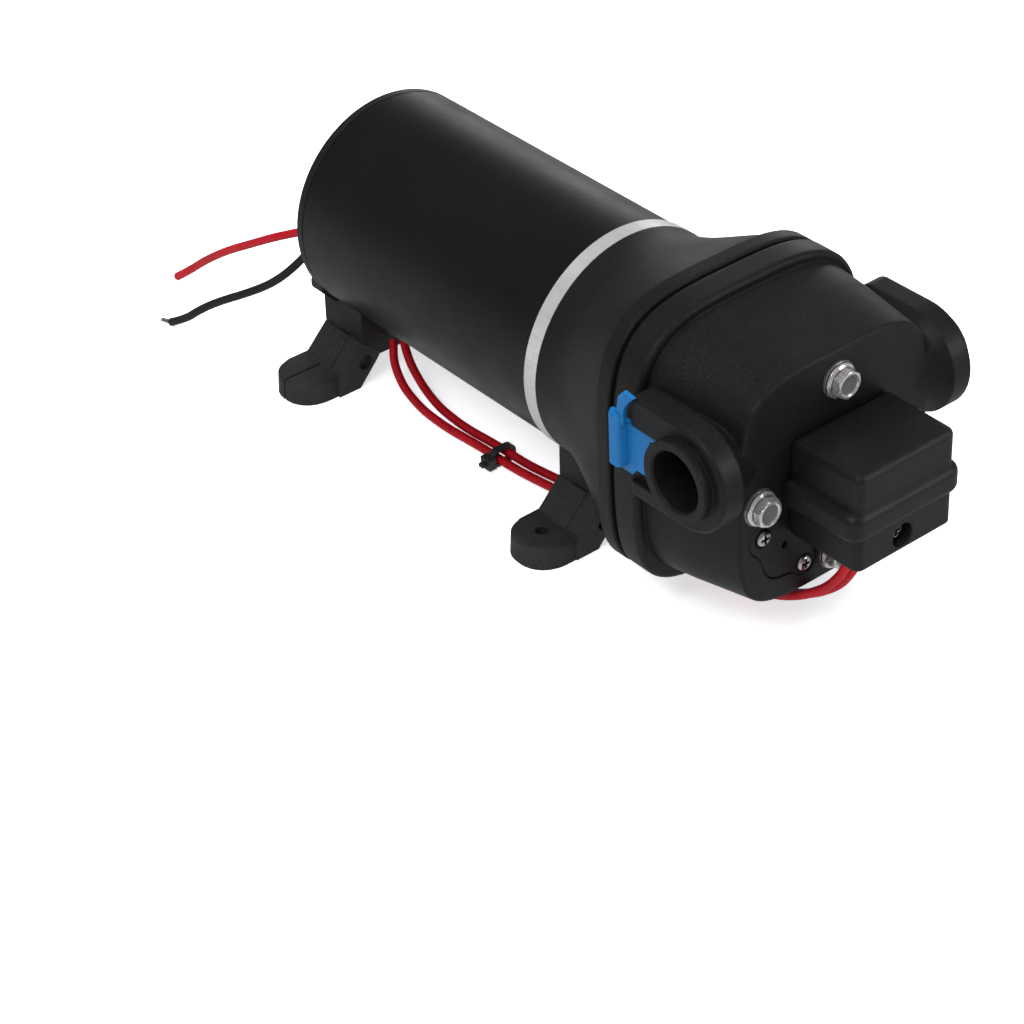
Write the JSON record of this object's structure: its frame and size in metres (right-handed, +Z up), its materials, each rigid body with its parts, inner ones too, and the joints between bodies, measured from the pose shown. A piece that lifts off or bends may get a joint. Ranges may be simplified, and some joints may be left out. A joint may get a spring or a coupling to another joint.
{
  "type": "diaphragm pump",
  "caption": "Motor-driven wobble-plate diaphragm water pump on four rubber feet, with side ports, slide clips and a pressure switch.",
  "frame": {"origin": "middle of the underside of the pump standing on its feet, power leads left out", "axes": "+X along the motor axis from the rear cap to the head, +Z up, -Y towards the left port"},
  "size_m": [0.3163, 0.1022, 0.1015],
  "materials": {
    "motor_paint": "satin black paint",
    "cap_plastic": "moulded black plastic",
    "ferrite": "sintered ferrite",
    "steel": "ground steel",
    "lamination": "stacked laminations",
    "copper": "enamelled copper",
    "board": "laminate board",
    "brass": "stamped brass",
    "carbon": "pressed carbon",
    "band_alloy": "turned aluminium",
    "zinc": "bright zinc plate",
    "head_plastic": "grained black moulding",
    "switch_plastic": "fine grained black moulding",
    "inner_plastic": "natural moulding",
    "seal_rubber": "moulded rubber",
    "clip_blue": "saturated blue moulding",
    "button_red": "smooth",
    "base_plastic": "black moulding",
    "foot_rubber": "matt grey-black rubber",
    "tie_nylon": "smooth nylon",
    "wire_red": "extruded insulation",
    "wire_black": "extruded insulation",
    "tinned_copper": "tinned strands"
  },
  "bodies": {
    "pump": {"motor_casing": "motor_paint", "rear_end_cap": "cap_plastic", "motor_magnets": "ferrite", "brush_plate": "board", "brush_holders": "brass", "carbon_brushes": "carbon", "brush_springs": "steel", "rear_bearing": "steel", "front_bearing": "steel", "motor_front_plate": "band_alloy", "motor_tie_screws": "zinc", "lower_housing": "head_plastic", "housing_screws": "zinc", "bolt_inserts": "brass", "diaphragm": "seal_rubber", "valve_plate": "inner_plastic", "inlet_valves": "seal_rubber", "outlet_valve": "seal_rubber", "valve_plate_seal": "seal_rubber", "upper_housing": "head_plastic", "cover_plate": "head_plastic", "cover_screws": "zinc", "head_bolts": "zinc", "head_washers": "zinc", "switch_cover": "switch_plastic", "switch_cover_screw": "zinc", "switch_base": "switch_plastic", "switch_diaphragm": "seal_rubber", "switch_spring": "steel", "microswitch": "switch_plastic", "base_frame": "base_plastic", "base_screws": "zinc", "foot_rear_left": "foot_rubber", "foot_rear_right": "foot_rubber", "foot_front_left": "foot_rubber", "foot_front_right": "foot_rubber", "wire_grommet": "seal_rubber", "lead_grommet": "seal_rubber", "switch_wire_a": "wire_red", "switch_wire_b": "wire_red", "cable_tie": "tie_nylon", "lead_red": "wire_red", "lead_black": "wire_black", "lead_strands": "tinned_copper"},
    "rotor": {"rotor_shaft": "steel", "armature_core": "lamination", "armature_windings": "copper", "commutator": "copper", "cam_hub": "steel", "wobble_bearing_inner": "steel"},
    "wobble": {"wobble_bearing_outer": "steel", "wobble_bearing_balls": "steel", "wobble_plate": "inner_plastic", "pistons": "inner_plastic", "piston_screws": "zinc"},
    "clip_left": {"slide_clip_left": "clip_blue"},
    "clip_right": {"slide_clip_right": "clip_blue"},
    "plunger": {"switch_plunger": "inner_plastic"},
    "button": {"microswitch_button": "button_red"}
  },
  "joints": [
    {"name": "shaft_spin", "type": "hinge", "parent": "pump", "child": "rotor", "pos_m": [-0.0522, 0, 0.056], "axis": [1, 0, 0], "continuous": true},
    {"name": "plate_wobble", "type": "hinge", "parent": "rotor", "child": "wobble", "pos_m": [0.047, 0, 0.056], "axis": [0.9981, 0, 0.061], "continuous": true, "deforming": ["diaphragm"]},
    {"name": "clip_left_slide", "type": "slide", "parent": "pump", "child": "clip_left", "axis": [1, 0, 0], "range_m": [0, 0.004]},
    {"name": "clip_right_slide", "type": "slide", "parent": "pump", "child": "clip_right", "axis": [1, 0, 0], "range_m": [0, 0.004]},
    {"name": "switch_press", "type": "slide", "parent": "pump", "child": "plunger", "axis": [1, 0, 0], "range_m": [0, 0.001], "stiffness_N_per_m": 900, "springref_m": -0.002, "deforming": ["switch_spring"]},
    {"name": "button_press", "type": "slide", "parent": "pump", "child": "button", "axis": [1, 0, 0], "range_m": [0, 0.001]}
  ],
  "couplings": [
    {"joint": "plate_wobble", "follows": "shaft_spin", "ratio": -1},
    {"joint": "button_press", "follows": "switch_press", "ratio": 1}
  ]
}
